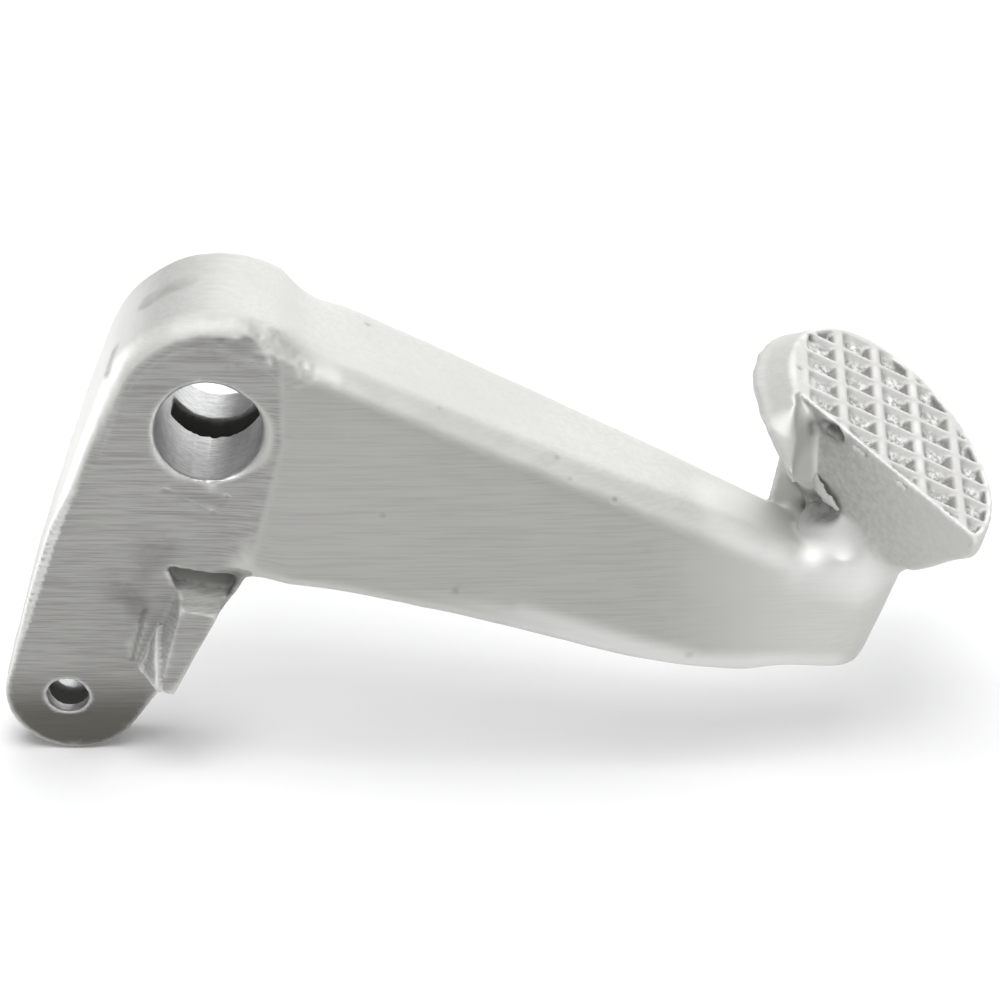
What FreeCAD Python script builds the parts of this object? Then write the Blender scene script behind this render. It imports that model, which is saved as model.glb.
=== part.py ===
import FreeCAD, Part
import Sketcher
import math
import os

# Scooter brake pedal, one aluminium casting.
# Origin at the middle of the pivot bore; Y along the bore, X along the arm towards the foot pad, Z up.
SIZES = [
    ("bore_diameter", 16.0, "pivot bore"),
    ("bore_length", 33.0, "pivot bore, face to face across the cored slot"),
    ("bore_chamfer", 0.4, "chamfer at both ends of the pivot bore"),
    ("hub_radius", 18.0, "outer radius of the hub"),
    ("hub_x", 0.9, "centre of the hub's outside, beside the bore"),
    ("hub_z", 0.5, "centre of the hub's outside, above the bore"),
    ("hub_front_round", 5.0, "rounding of the front rim of the hub"),
    ("leg_front_round", 1.2, "rounding of the front rim at the leg end"),
    ("hub_back_chamfer", 3.0, "chamfer of the rear rim of the hub and leg"),
    ("boss_radius", 12.5, "boss at the rear end of the bore"),
    ("boss_height", 4.0, "boss above the rear of the hub"),
    ("leg_end_x", -22.2, "centre of the rounded leg end"),
    ("leg_end_z", -49.2, "centre of the rounded leg end"),
    ("leg_end_radius", 10.7, "rounded leg end"),
    ("leg_lean", 15.0, "angle by which the front of the leg falls back"),
    ("leg_lean_start", 1.0, "height at which the front of the leg starts to fall back"),
    ("leg_bend", 76.0, "radius of the bend between the hub's front and the front of the leg"),
    ("leg_back_lean", 8.6, "angle by which the rear of the leg comes forward"),
    ("leg_back_start", -20.0, "height at which the rear of the leg starts to come forward"),
    ("pin_x", -23.3, "cable pin hole"),
    ("pin_z", -49.6, "cable pin hole"),
    ("pin_diameter", 6.5, "cable pin hole"),
    ("slot_hub_front", 0.5, "front wall of the cored slot at the hub"),
    ("slot_hub_width", 7.0, "width of the cored slot at the hub"),
    ("slot_leg_front", -2.2, "front wall of the cored slot at the leg tip"),
    ("slot_leg_width", 5.0, "width of the cored slot at the leg tip"),
    ("slot_web", 4.2, "slot floor, left of the line from bore to pin hole"),
    ("slot_top", 4.0, "upper end of the slot"),
    ("slot_reach", 16.0, "right end of the slot at its top"),
    ("slot_foot_reach", 10.0, "right end of the slot at the leg tip"),
    ("arm_middle", -1.5, "middle plane of the arm"),
    ("arm_round", 5.0, "rounding of the four long edges of the arm"),
    ("arm_half_hub", 15.3, "half width of the arm at the hub"),
    ("arm_half_end", 8.6, "half width of the arm at its end, radius of the elbow"),
    ("arm_bulge", 0.9, "extra half width halfway along the arm"),
    ("arm_start", 11.3, "first arm section, at the height of the bore"),
    ("arm_start_lean", 14.5, "lean of the first arm section towards the pad at its top"),
    ("arm_top", 18.8, "line of the arm's top above the middle of the bore"),
    ("arm_fall", 24.5, "fall of the arm's top towards the pad"),
    ("arm_bottom_start", 26.8, "underside of the first section below the bore, along the section"),
    ("arm_bottom_near", 31.2, "underside of the second section"),
    ("arm_bottom_middle", 38.4, "underside of the third section"),
    ("arm_bottom_far", 45.1, "underside of the fourth section"),
    ("wall", 6.0, "wall of the hollow arm"),
    ("hollow_start", 15.0, "hub end of the hollow"),
    ("hollow_end", 78.0, "pad end of the hollow"),
    ("elbow_x", 106.6, "axis of the elbow at the height of the bore"),
    ("elbow_lean", 21.8, "lean of the elbow towards the pad at its top"),
    ("elbow_bottom", 46.7, "lower end of the elbow below the height of the bore, along its axis"),
    ("elbow_top", 19.2, "upper end of the elbow below the height of the bore, along its axis"),
    ("elbow_shoulder", 4.5, "narrowing of the upper end of the elbow, and its height"),
    ("elbow_round", 6.0, "rounding of the lower end of the elbow"),
    ("elbow_skin", 0.15, "skin of the elbow around the end section of the arm"),
    ("pad_x", 104.2, "centre of the tread"),
    ("pad_z", -5.2, "centre of the tread"),
    ("pad_tilt", 26.2, "fall of the tread towards its far edge"),
    ("pad_turn", -81.7, "turn of the long axis of the pad"),
    ("pad_length", 65.2, "tread, long axis"),
    ("pad_width", 32.6, "tread, short axis"),
    ("pad_shift", -1.7, "middle of the tread oval along the tread, from the tread centre"),
    ("pad_side", -2.2, "middle of the tread oval along the pivot axis, from the arm's middle plane"),
    ("pad_thick", 5.0, "tread to lower rim"),
    ("rim_length", 71.8, "lower rim, long axis"),
    ("rim_across", 38.2, "lower rim, short axis"),
    ("rim_shift", -3.4, "middle of the lower rim along the tread, from the tread centre"),
    ("rim_side", -1.3, "middle of the lower rim along the pivot axis, from the arm's middle plane"),
    ("trim_distance", 11.0, "straight edge of the pad from the middle of the tread oval"),
    ("trim_angle", -129.5, "direction of the straight edge from the middle of the tread oval"),
    ("trim_start", 88.0, "hub end of the straight side, across the arm"),
    ("trim_draft", 32.0, "inward slope of the pad's straight side below the tread"),
    ("bowl_depth", 7.5, "lower rim to the middle of the bowl"),
    ("bowl_shift", 2.6, "foot of the bowl along the tread, from the tread centre"),
    ("bowl_length", 41.0, "middle of the bowl, long axis"),
    ("bowl_width", 27.0, "middle of the bowl, short axis"),
    ("cell_across", 6.4, "tread pitch along the arm"),
    ("cell_along", 7.0, "tread pitch along the pivot axis"),
    ("cell_across_start", 3.05, "first rib across the arm"),
    ("cell_along_start", 0.6, "first rib along the arm"),
    ("rib_width", 1.1, "tread rib at its crest"),
    ("cell_depth", 1.7, "depth of the tread pockets"),
    ("cell_draft", 1.3, "inward slope of the pocket walls over their depth"),
    ("border", 1.0, "plain border around the tread"),
    ("tread_margin", 0.4, "height by which the tread's cutting bodies pass it"),
    ("margin", 1.0, "length by which cutting bodies pass a face and joined bodies enter each other"),
    ("gusset_x", 83.7, "hub side of the gusset at its foot"),
    ("gusset_lean", 12.0, "lean of the gusset towards the pad at its head"),
    ("gusset_front", 4.2, "front of the gusset"),
    ("gusset_length", 5.1, "gusset along the arm"),
    ("gusset_width", 3.8, "gusset along the pivot axis"),
    ("web_front", 6.2, "front of the thinner web from the gusset to the elbow"),
    ("web_length", 13.0, "web along the arm"),
    ("gusset_foot", -25.0, "foot of the gusset, inside the arm"),
    ("gusset_head", -2.5, "head of the gusset, inside the pad"),
    ("lug_front", -14.3, "front facet of the stop lug"),
    ("lug_root", -4.5, "root of the stop lug, floor of the notch above it"),
    ("lug_x", 3.8, "right upper corner of the lug root"),
    ("lug_z", -26.2, "right upper corner of the lug root"),
    ("lug_width", 10.8, "upper edge of the lug root"),
    ("lug_rise", 2.2, "left end of the upper edge above its right end"),
    ("lug_length", 20.5, "lug root from top to bottom"),
    ("lug_slant", 9.3, "shift of the lug root to the left over its length"),
    ("lug_foot", 8.0, "lower edge of the lug root"),
    ("lug_inset", 2.9, "front facet in from the right side of the root"),
    ("lug_drop", 5.6, "front facet below the upper edge of the root"),
    ("lug_face_width", 5.8, "upper edge of the front facet"),
    ("lug_face_length", 13.2, "front facet from top to bottom"),
    ("lug_face_slant", 7.3, "shift of the front facet to the left over its length"),
    ("lug_face_foot", 1.8, "lower edge of the front facet"),
    ("lug_foot_rise", 0.4, "rise of both lower edges to the left, per length"),
]

doc = FreeCAD.newDocument("brake_pedal_model")
sheet = doc.addObject("Spreadsheet::Sheet", "sizes")
for row, (alias, value, words) in enumerate(SIZES, start=1):
    sheet.set("A%d" % row, words)
    sheet.set("B%d" % row, repr(value))
    sheet.setAlias("B%d" % row, alias)
doc.recompute()


def number(expression):
    """The value of an expression over the sheet, the first guess of a sketch dimension."""
    return float(sheet.evalExpression(expression))


def bind(made, **expressions):
    """Tie properties of an object to expressions over the sheet; two underscores stand for a dot."""
    for name, expression in expressions.items():
        made.setExpression(name.replace("__", "."), expression)
    return made


def dimension(made, kind, line, end, expression):
    """A sketch dimension tied to an expression over the sheet."""
    index = made.addConstraint(Sketcher.Constraint(kind, line, end, number(expression)))
    made.setExpression("Constraints[%d]" % index, expression)


def polygon(made, corners):
    """A closed outline of straight lines; each corner is a pair of expressions."""
    points = [FreeCAD.Vector(number(x), number(y), 0) for x, y in corners]
    count = len(points)
    for i in range(count):
        made.addGeometry(Part.LineSegment(points[i], points[(i + 1) % count]), False)
    for i in range(count):
        made.addConstraint(Sketcher.Constraint("Coincident", i, 2, (i + 1) % count, 1))
    for i, (x, y) in enumerate(corners):
        dimension(made, "DistanceX", i, 1, x)
        dimension(made, "DistanceY", i, 1, y)
    return made


def rounded_rectangle(made, left, right, low, high, radius):
    """A rectangle with four equal rounded corners, each side placed by an expression."""
    x0, x1, y0, y1, r = (number(e) for e in (left, right, low, high, radius))
    up = FreeCAD.Vector(0, 0, 1)
    v = FreeCAD.Vector
    sides = [
        (v(x0 + r, y0), v(x1 - r, y0)),
        (v(x1, y0 + r), v(x1, y1 - r)),
        (v(x1 - r, y1), v(x0 + r, y1)),
        (v(x0, y1 - r), v(x0, y0 + r)),
    ]
    centres = [v(x1 - r, y0 + r), v(x1 - r, y1 - r), v(x0 + r, y1 - r), v(x0 + r, y0 + r)]
    for i in range(4):
        made.addGeometry(Part.LineSegment(*sides[i]), False)
        start = math.pi * (i - 1) / 2
        made.addGeometry(Part.ArcOfCircle(Part.Circle(centres[i], up, r), start, start + math.pi / 2), False)
    for i in range(4):
        line, arc, following = 2 * i, 2 * i + 1, (2 * i + 2) % 8
        made.addConstraint(Sketcher.Constraint("Tangent", line, 2, arc, 1))
        made.addConstraint(Sketcher.Constraint("Tangent", arc, 2, following, 1))
        made.addConstraint(Sketcher.Constraint("Horizontal" if i % 2 == 0 else "Vertical", line))
        if i:
            made.addConstraint(Sketcher.Constraint("Equal", 1, arc))
    index = made.addConstraint(Sketcher.Constraint("Radius", 1, r))
    made.setExpression("Constraints[%d]" % index, radius)
    dimension(made, "DistanceY", 0, 1, low)
    dimension(made, "DistanceX", 2, 1, right)
    dimension(made, "DistanceY", 4, 1, high)
    dimension(made, "DistanceX", 6, 1, left)
    return made


def body_sketch(body, name, plane, offset):
    """An empty sketch on one of a body's own planes, moved along its normal."""
    made = body.newObject("Sketcher::SketchObject", name)
    made.AttachmentSupport = [(next(f for f in body.Origin.OriginFeatures if f.Role == plane), "")]
    made.MapMode = "FlatFace"
    return bind(made, AttachmentOffset__Base__z=offset)


def rim_edges(shape, y):
    """Names of the edges that lie in the plane at a given Y."""
    return ["Edge%d" % (i + 1) for i, edge in enumerate(shape.Edges)
            if max(abs(edge.BoundBox.YMin - y), abs(edge.BoundBox.YMax - y)) < 0.01]


# Hub and leg: two circles joined by their outer tangents, rounded in front and chamfered behind.
link = doc.addObject("PartDesign::Body", "hub_and_leg")
outline = body_sketch(link, "link_outline", "XZ_Plane", "sizes.boss_height - sizes.bore_length / 2")
hub = FreeCAD.Vector(number("sizes.hub_x"), number("sizes.hub_z"), 0)
end = FreeCAD.Vector(number("sizes.leg_end_x"), number("sizes.leg_end_z"), 0)
hub_r, leg_r = number("sizes.hub_radius"), number("sizes.leg_end_radius")
heading = math.atan2(end.y - hub.y, end.x - hub.x)
spread = math.acos((hub_r - leg_r) / (end - hub).Length)
normal = FreeCAD.Vector(0, 0, 1)
first, second = heading - spread, heading + spread
touch = {}
for angle in (first, second):
    way = FreeCAD.Vector(math.cos(angle), math.sin(angle), 0)
    touch[angle] = (hub + way * hub_r, end + way * leg_r)
outline.addGeometry(Part.ArcOfCircle(Part.Circle(hub, normal, hub_r), second, first + 2 * math.pi), False)
outline.addGeometry(Part.LineSegment(*touch[first]), False)
outline.addGeometry(Part.ArcOfCircle(Part.Circle(end, normal, leg_r), first, second), False)
outline.addGeometry(Part.LineSegment(*reversed(touch[second])), False)
for line, follower in ((0, 1), (1, 2), (2, 3), (3, 0)):
    outline.addConstraint(Sketcher.Constraint("Tangent", line, 2, follower, 1))
for arc, radius, x, z in ((0, "sizes.hub_radius", "sizes.hub_x", "sizes.hub_z"),
                          (2, "sizes.leg_end_radius", "sizes.leg_end_x", "sizes.leg_end_z")):
    index = outline.addConstraint(Sketcher.Constraint("Radius", arc, number(radius)))
    outline.setExpression("Constraints[%d]" % index, radius)
    dimension(outline, "DistanceX", arc, 3, x)
    dimension(outline, "DistanceY", arc, 3, z)
blank = link.newObject("PartDesign::Pad", "link_blank")
blank.Profile = outline
bind(blank, Length="sizes.bore_length - sizes.boss_height")
doc.recompute()
rear_rim = link.newObject("PartDesign::Chamfer", "rear_rim")
rear_rim.Base = (blank, rim_edges(blank.Shape, number("sizes.bore_length / 2 - sizes.boss_height")))
bind(rear_rim, Size="sizes.hub_back_chamfer")
doc.recompute()

front_rim = doc.addObject("Part::Fillet", "front_rim")
front_rim.Base = link
wide, narrow = number("sizes.hub_front_round"), number("sizes.leg_front_round")
rounds = []
for name in rim_edges(link.Shape, number("-sizes.bore_length / 2")):
    edge = link.Shape.getElement(name)
    at = [wide if (edge.valueAt(s) - FreeCAD.Vector(hub.x, 0, hub.y)).Length < 2 * hub_r else narrow
          for s in edge.ParameterRange]
    rounds.append((int(name[4:]), at[0], at[1]))
front_rim.Edges = rounds


def across_arm(name):
    """An empty sketch in the plane through the pivot axis that is square to the arm; it shows Y and Z."""
    made = doc.addObject("Sketcher::SketchObject", name)
    made.Placement.Rotation = FreeCAD.Rotation(FreeCAD.Vector(1, 1, 1), 120)
    return made


def swept_across(name, profile):
    """A solid swept both ways along X from a profile across the arm."""
    made = doc.addObject("Part::Extrusion", name)
    made.Base = profile
    made.DirMode = "Normal"
    made.Solid = True
    return bind(made, LengthFwd="sizes.bore_length * 2", LengthRev="sizes.bore_length * 2")


# The front of the leg bends away from the hub's face in an arc and then falls back straight.
bent = across_arm("leg_front_outline")
face_y, bend_z = number("-sizes.bore_length / 2"), number("sizes.leg_lean_start")
bend, lean = number("sizes.leg_bend"), math.radians(number("sizes.leg_lean"))
drop = number("sizes.leg_end_z - 2 * sizes.leg_end_radius")
centre = FreeCAD.Vector(face_y + bend, bend_z, 0)
turned = centre - FreeCAD.Vector(bend * math.cos(lean), bend * math.sin(lean), 0)
low = FreeCAD.Vector(turned.x + (turned.y - drop) * math.tan(lean), drop, 0)
corners = [turned, low, FreeCAD.Vector(2 * face_y, drop, 0), FreeCAD.Vector(2 * face_y, bend_z, 0),
           FreeCAD.Vector(face_y, bend_z, 0)]
bent.addGeometry(Part.ArcOfCircle(Part.Circle(centre, normal, bend), math.pi, math.pi + lean), False)
for here, there in zip(corners, corners[1:]):
    bent.addGeometry(Part.LineSegment(here, there), False)
bent.addConstraint(Sketcher.Constraint("Tangent", 0, 2, 1, 1))
for line in (1, 2, 3):
    bent.addConstraint(Sketcher.Constraint("Coincident", line, 2, line + 1, 1))
bent.addConstraint(Sketcher.Constraint("Coincident", 4, 2, 0, 1))
bent.addConstraint(Sketcher.Constraint("Horizontal", 0, 3, 0, 1))
bent.addConstraint(Sketcher.Constraint("Horizontal", 2))
bent.addConstraint(Sketcher.Constraint("Vertical", 3))
bent.addConstraint(Sketcher.Constraint("Horizontal", 4))
index = bent.addConstraint(Sketcher.Constraint("Radius", 0, bend))
bent.setExpression("Constraints[%d]" % index, "sizes.leg_bend")
index = bent.addConstraint(Sketcher.Constraint("Angle", 1, lean - math.pi / 2))
bent.setExpression("Constraints[%d]" % index, "sizes.leg_lean * 1deg - 90deg")
dimension(bent, "DistanceX", 0, 1, "-sizes.bore_length / 2")
dimension(bent, "DistanceY", 0, 1, "sizes.leg_lean_start")
dimension(bent, "DistanceY", 2, 1, "sizes.leg_end_z - 2 * sizes.leg_end_radius")
dimension(bent, "DistanceX", 3, 1, "-sizes.bore_length")

back = "sizes.bore_length / 2 - sizes.boss_height"
below = "(sizes.leg_end_z - 2 * sizes.leg_end_radius)"
straight = polygon(across_arm("leg_rear_outline"), [
    (back, "sizes.leg_back_start"),
    ("%s - (sizes.leg_back_start - %s) * tan(sizes.leg_back_lean * 1deg)" % (back, below), below),
    ("sizes.bore_length", below),
    ("sizes.bore_length", "sizes.leg_back_start"),
])
leans = [swept_across("leg_front_lean", bent), swept_across("leg_rear_lean", straight)]
leaning = doc.addObject("Part::MultiFuse", "leg_leans")
leaning.Shapes = leans
hub_and_leg = doc.addObject("Part::Cut", "leaning_leg")
hub_and_leg.Base = front_rim
hub_and_leg.Tool = leaning
doc.recompute()

boss = doc.addObject("Part::Cylinder", "rear_boss")
boss.Placement.Rotation = FreeCAD.Rotation(FreeCAD.Vector(1, 0, 0), -90)
bind(boss, Radius="sizes.boss_radius", Height="sizes.bore_length / 2")

# Arm: rounded sections that lean more and more towards the pad; the last one lies on the axis of the elbow.
fall = "tan(sizes.arm_fall * 1deg)"
sections = []
for name, f, bottom in (
    ("arm_hub_section", 0.0, "sizes.arm_bottom_start"),
    ("arm_near_section", 0.27, "sizes.arm_bottom_near"),
    ("arm_middle_section", 0.54, "sizes.arm_bottom_middle"),
    ("arm_far_section", 0.81, "sizes.arm_bottom_far"),
    ("arm_end_section", 1.0, "sizes.elbow_bottom - sizes.elbow_skin"),
):
    made = across_arm(name)
    angle = "(sizes.arm_start_lean + %g * (sizes.elbow_lean - sizes.arm_start_lean))" % f
    x = "(sizes.arm_start + %g * (sizes.elbow_x - sizes.arm_start))" % f
    lean = FreeCAD.Rotation(FreeCAD.Vector(0, 1, 0), number(angle))
    made.Placement.Rotation = lean.multiply(made.Placement.Rotation)
    bind(made, Placement__Base__x=x)
    half = "(sizes.arm_half_hub + %g * (sizes.arm_half_end - sizes.arm_half_hub) + %g * sizes.arm_bulge)" % (
        f, 4 * f * (1 - f))
    rounded_rectangle(
        made,
        "sizes.arm_middle - " + half,
        "sizes.arm_middle + " + half,
        "-(%s)" % bottom,
        "(sizes.arm_top - %s * %s) / (cos(%s * 1deg) + %s * sin(%s * 1deg))" % (fall, x, angle, fall, angle),
        "sizes.arm_round + %g * (sizes.elbow_round - sizes.arm_round)" % f,
    )
    sections.append(made)
arm = doc.addObject("Part::Loft", "arm")
arm.Sections = sections
arm.Solid = True


def in_pad_frame(made, along, side, depth, turn):
    """Place an object in the frame of the tread: along it, beside the arm's middle plane and below it."""
    u, n = "(%s)" % along, "(%s)" % depth
    across, up = "cos(sizes.pad_tilt * 1deg)", "sin(sizes.pad_tilt * 1deg)"
    bind(
        made,
        Placement__Base__x="sizes.pad_x + %s * %s - %s * %s" % (u, across, n, up),
        Placement__Base__y="sizes.arm_middle + %s" % side,
        Placement__Base__z="sizes.pad_z - %s * %s - %s * %s" % (u, up, n, across),
    )
    tilt = FreeCAD.Rotation(FreeCAD.Vector(0, 1, 0), number("sizes.pad_tilt"))
    made.Placement.Rotation = tilt.multiply(turn)
    return made


def oval(name, half_length, half_width, along, side, depth):
    """An ellipse parallel to the tread with its long axis along the pad."""
    made = doc.addObject("Part::Ellipse", name)
    bind(made, MajorRadius=half_length, MinorRadius=half_width)
    turn = FreeCAD.Rotation(FreeCAD.Vector(0, 0, 1), number("sizes.pad_turn"))
    return in_pad_frame(made, along, side, depth, turn)


# Elbow: a leaning round post from the end of the arm up into the pad, rounded below, narrowing above.
def on_elbow_axis(made, drop):
    """Stand an object on the axis of the elbow, at a distance below the height of the bore."""
    made.Placement.Rotation = FreeCAD.Rotation(FreeCAD.Vector(0, 1, 0), number("sizes.elbow_lean"))
    return bind(
        made,
        Placement__Base__x="sizes.elbow_x - (%s) * sin(sizes.elbow_lean * 1deg)" % drop,
        Placement__Base__y="sizes.arm_middle",
        Placement__Base__z="-(%s) * cos(sizes.elbow_lean * 1deg)" % drop,
    )


elbow_radius = "sizes.arm_half_end + sizes.elbow_skin"
shoulder_drop = "sizes.elbow_top + sizes.elbow_shoulder"
post = on_elbow_axis(doc.addObject("Part::Cylinder", "elbow_post"), "sizes.elbow_bottom")
bind(post, Radius=elbow_radius, Height="sizes.elbow_bottom - (%s)" % shoulder_drop)
doc.recompute()
elbow = doc.addObject("Part::Fillet", "elbow")
elbow.Base = post
rings = sorted((edge.CenterOfMass.z, i + 1) for i, edge in enumerate(post.Shape.Edges) if edge.Closed)
elbow.Edges = [(rings[0][1], number("sizes.elbow_round"), number("sizes.elbow_round"))]
shoulder = on_elbow_axis(doc.addObject("Part::Cone", "elbow_shoulder"), shoulder_drop)
bind(
    shoulder,
    Radius1=elbow_radius,
    Radius2="%s - sizes.elbow_shoulder" % elbow_radius,
    Height="sizes.elbow_shoulder",
)

# Foot pad: a plate that widens below its tread, and a bowl that narrows from its lower rim to the elbow.
tread = oval("tread_oval", "sizes.pad_length / 2", "sizes.pad_width / 2", "sizes.pad_shift",
             "sizes.pad_side", "0")
rim = oval("rim_oval", "sizes.rim_length / 2", "sizes.rim_across / 2", "sizes.rim_shift", "sizes.rim_side",
           "sizes.pad_thick")
plate = doc.addObject("Part::Loft", "pad_plate")
plate.Sections = [rim, tread]
plate.Solid = True
bowl = doc.addObject("Part::Loft", "bowl")
bowl.Sections = [
    oval("bowl_top", "sizes.rim_length / 2 - sizes.margin", "sizes.rim_across / 2 - sizes.margin",
         "sizes.rim_shift", "sizes.rim_side", "sizes.pad_thick - sizes.margin / 2"),
    oval("bowl_middle", "sizes.bowl_length / 2", "sizes.bowl_width / 2", "0", "sizes.rim_side / 2",
         "sizes.pad_thick + sizes.bowl_depth"),
    oval("bowl_foot", "sizes.arm_half_end - sizes.margin / 2", "sizes.arm_half_end - sizes.margin",
         "sizes.bowl_shift", "0", "sizes.pad_thick + 2 * sizes.bowl_depth"),
]
bowl.Solid = True
bowl.Ruled = True
plate_and_bowl = doc.addObject("Part::Fuse", "plate_and_bowl")
plate_and_bowl.Base = plate
plate_and_bowl.Tool = bowl


def trim_block(name, inset, draft):
    """A block beyond the pad's straight edge, its face sloping inwards below the tread by a draft angle."""
    made = doc.addObject("Part::Box", name)
    bind(made, Length="sizes.pad_length", Width="sizes.pad_length * 2", Height="sizes.pad_length * 2")
    heading = FreeCAD.Rotation(FreeCAD.Vector(0, 0, 1), number("sizes.trim_angle"))
    face = heading.multiply(FreeCAD.Rotation(FreeCAD.Vector(0, 1, 0), draft))
    tilt = FreeCAD.Rotation(FreeCAD.Vector(0, 1, 0), number("sizes.pad_tilt"))
    middle = FreeCAD.Vector(number("sizes.pad_shift"), number("sizes.pad_side"), 0)
    edge = heading.multVec(FreeCAD.Vector(number("sizes.trim_distance") - inset, 0, 0))
    reach = number("sizes.pad_length")
    corner = face.multVec(FreeCAD.Vector(0, -reach, -reach))
    centre = FreeCAD.Vector(number("sizes.pad_x"), number("sizes.arm_middle"), number("sizes.pad_z"))
    made.Placement = FreeCAD.Placement(centre + tilt.multVec(middle + edge + corner), tilt.multiply(face))
    return made


# The straight side ends at a plane across the arm, so that the lower rim runs on towards the hub.
beyond = doc.addObject("Part::Box", "pad_trim_limit")
bind(
    beyond,
    Length="sizes.pad_length",
    Width="sizes.pad_length * 2",
    Height="sizes.pad_length * 2",
    Placement__Base__x="sizes.trim_start",
    Placement__Base__y="-sizes.pad_length",
    Placement__Base__z="-sizes.pad_length",
)
trim = doc.addObject("Part::Common", "pad_trim")
trim.Base = trim_block("pad_trim_face", 0, number("sizes.trim_draft"))
trim.Tool = beyond
pad = doc.addObject("Part::Cut", "foot_pad")
pad.Base = plate_and_bowl
pad.Tool = trim
doc.recompute()

# Gusset at the rear of the arm, up to the hub side of the pad.
gusset = doc.addObject("Part::Box", "gusset")
gusset.Placement.Rotation = FreeCAD.Rotation(FreeCAD.Vector(0, 1, 0), number("sizes.gusset_lean"))
bind(
    gusset,
    Length="sizes.gusset_length",
    Width="sizes.gusset_width",
    Height="(sizes.gusset_head - sizes.gusset_foot) / cos(sizes.gusset_lean * 1deg)",
    Placement__Base__x="sizes.gusset_x",
    Placement__Base__y="sizes.gusset_front",
    Placement__Base__z="sizes.gusset_foot",
)
web = doc.addObject("Part::Box", "gusset_web")
bind(
    web,
    Length="sizes.web_length",
    Width="sizes.gusset_front + sizes.gusset_width - sizes.margin / 2 - sizes.web_front",
    Height="sizes.gusset_head - sizes.gusset_foot - 2 * sizes.margin",
    Placement__Base__x="sizes.gusset_x + sizes.gusset_length / 2",
    Placement__Base__y="sizes.web_front",
    Placement__Base__z="sizes.gusset_foot + sizes.margin",
)

# Stop lug beside the leg: a slanted block with sloping upper and left facets, below a notch in the leg.
face_x, face_z = "(sizes.lug_x - sizes.lug_inset)", "(sizes.lug_z - sizes.lug_drop)"
upper_edge = [
    ("sizes.lug_x", "sizes.lug_z"),
    ("sizes.lug_x - sizes.lug_width", "sizes.lug_z + sizes.lug_rise"),
]
face_edge = [
    (face_x, face_z),
    (face_x + " - sizes.lug_face_width",
     face_z + " + sizes.lug_rise * sizes.lug_face_width / sizes.lug_width"),
]
root_foot = ("sizes.lug_x - sizes.lug_slant", "sizes.lug_z - sizes.lug_length")
face_foot = (face_x + " - sizes.lug_face_slant", face_z + " - sizes.lug_face_length")


def outline_at(name, y, corners):
    """A polygon in a plane across the pivot axis."""
    made = doc.addObject("Sketcher::SketchObject", name)
    made.Placement.Rotation = FreeCAD.Rotation(FreeCAD.Vector(1, 0, 0), 90)
    return polygon(bind(made, Placement__Base__y=y), corners)


lug = doc.addObject("Part::Loft", "stop_lug")
lug.Sections = [
    outline_at("lug_root_outline", "sizes.lug_root", [
        upper_edge[0], root_foot,
        (root_foot[0] + " - sizes.lug_foot", root_foot[1] + " + sizes.lug_foot * sizes.lug_foot_rise"),
        upper_edge[1],
    ]),
    outline_at("lug_front_outline", "sizes.lug_front", [
        face_edge[0], face_foot,
        (face_foot[0] + " - sizes.lug_face_foot",
         face_foot[1] + " + sizes.lug_face_foot * sizes.lug_foot_rise"),
        face_edge[1],
    ]),
]
lug.Solid = True
lug.Ruled = True
notch = doc.addObject("Part::Extrusion", "lug_notch")
notch.Base = outline_at("notch_outline", "sizes.lug_root",
                        [upper_edge[0], face_edge[0], face_edge[1], upper_edge[1]])
notch.DirMode = "Normal"
notch.Solid = True
bind(notch, LengthFwd="sizes.bore_length")
notched_leg = doc.addObject("Part::Cut", "notched_leg")
notched_leg.Base = hub_and_leg
notched_leg.Tool = notch
doc.recompute()

solid = doc.addObject("Part::MultiFuse", "solid_casting")
solid.Shapes = [notched_leg, boss, arm, elbow, shoulder, pad, gusset, web, lug]
solid.Refine = True
doc.recompute()

# Cored slot through hub and leg, and the hollow under the arm.
slope = "(sizes.pin_x / sizes.pin_z)"
tip = "(sizes.leg_end_z - sizes.leg_end_radius - sizes.margin)"
reach = "(sqrt(1 + %s ^ 2) * sizes.slot_web)" % slope
slot = doc.addObject("Part::Wedge", "cored_slot")
slot.Placement.Rotation = FreeCAD.Rotation(FreeCAD.Vector(1, 0, 0), 90)
bind(
    slot,
    Ymin=tip,
    Ymax="sizes.slot_top",
    Xmin="%s * %s - %s" % (slope, tip, reach),
    Xmax="sizes.slot_foot_reach",
    X2min="%s * sizes.slot_top - %s" % (slope, reach),
    X2max="sizes.slot_reach",
    Zmin="-sizes.slot_leg_front - sizes.slot_leg_width",
    Zmax="-sizes.slot_leg_front",
    Z2min="-sizes.slot_hub_front - sizes.slot_hub_width",
    Z2max="-sizes.slot_hub_front",
)
hollow = doc.addObject("Part::Wedge", "arm_hollow")
hollow.Placement.Rotation = FreeCAD.Rotation(FreeCAD.Vector(0, 0, 1), -90)
half = "(sizes.arm_half_hub + (%s - sizes.arm_start) / (sizes.elbow_x - sizes.arm_start)"
half += " * (sizes.arm_half_end - sizes.arm_half_hub) - sizes.wall)"
roof = "sizes.arm_top - %s * %s - sizes.wall / cos(sizes.arm_fall * 1deg)" % (fall, "%s")
under = "-sizes.elbow_bottom"
bind(
    hollow,
    Ymin="sizes.hollow_start",
    Ymax="sizes.hollow_end",
    Xmin="-sizes.arm_middle - " + half % "sizes.hollow_start",
    Xmax="-sizes.arm_middle + " + half % "sizes.hollow_start",
    X2min="-sizes.arm_middle - " + half % "sizes.hollow_end",
    X2max="-sizes.arm_middle + " + half % "sizes.hollow_end",
    Zmin=under,
    Zmax=roof % "sizes.hollow_start",
    Z2min=under,
    Z2max=roof % "sizes.hollow_end",
)

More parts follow.
